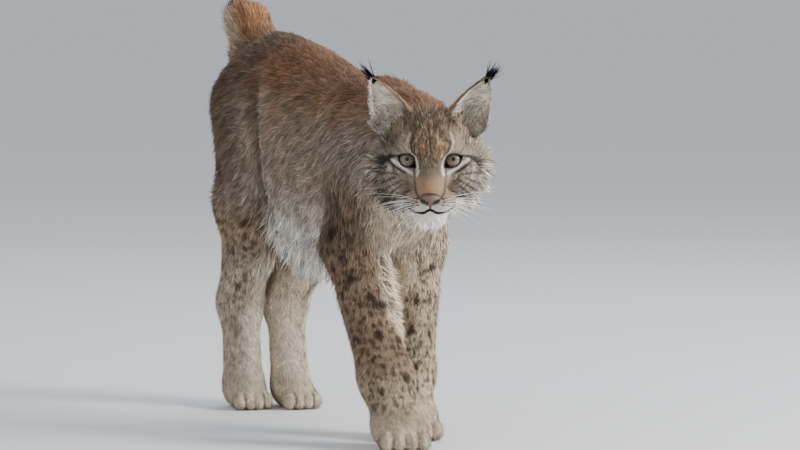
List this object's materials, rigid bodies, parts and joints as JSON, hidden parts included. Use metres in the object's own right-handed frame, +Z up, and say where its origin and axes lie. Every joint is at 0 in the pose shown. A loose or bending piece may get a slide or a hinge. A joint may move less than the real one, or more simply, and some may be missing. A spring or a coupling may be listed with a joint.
{
  "type": "eurasian lynx",
  "caption": "Life-size still figure of a walking Eurasian lynx in winter coat, with face ruff, tufted ears, short tail and broad paws.",
  "frame": {"origin": "on the floor, under the middle of the figure's bounding box", "axes": "-Y is the way the body faces, +X is the animal's left side, +Z is up"},
  "size_m": [0.2788, 1.0084, 0.7341],
  "materials": {
    "coat": "dense winter fur, grey-brown over rufous, pale below",
    "leg_coat": "short fur, cream with dark spots",
    "tail_coat": "fur, rufous with a black tip",
    "ear_coat": "short fur, pale inside, with black tufts",
    "eye": "wet, clear cornea over a grey-amber iris",
    "nose": "bare brown-pink skin"
  },
  "bodies": {
    "root": {"torso": "coat", "neck": "coat", "head": "coat", "nose": "nose", "tail": "tail_coat", "ear_right": "ear_coat", "ear_left": "ear_coat", "eye_right": "eye", "eye_left": "eye", "foreleg_right": "leg_coat", "foreleg_left": "leg_coat", "forepaw_right": "leg_coat", "forepaw_left": "leg_coat", "hindleg_right": "leg_coat", "hindleg_left": "leg_coat", "hindpaw_right": "leg_coat", "hindpaw_left": "leg_coat"}
  },
  "joints": []
}
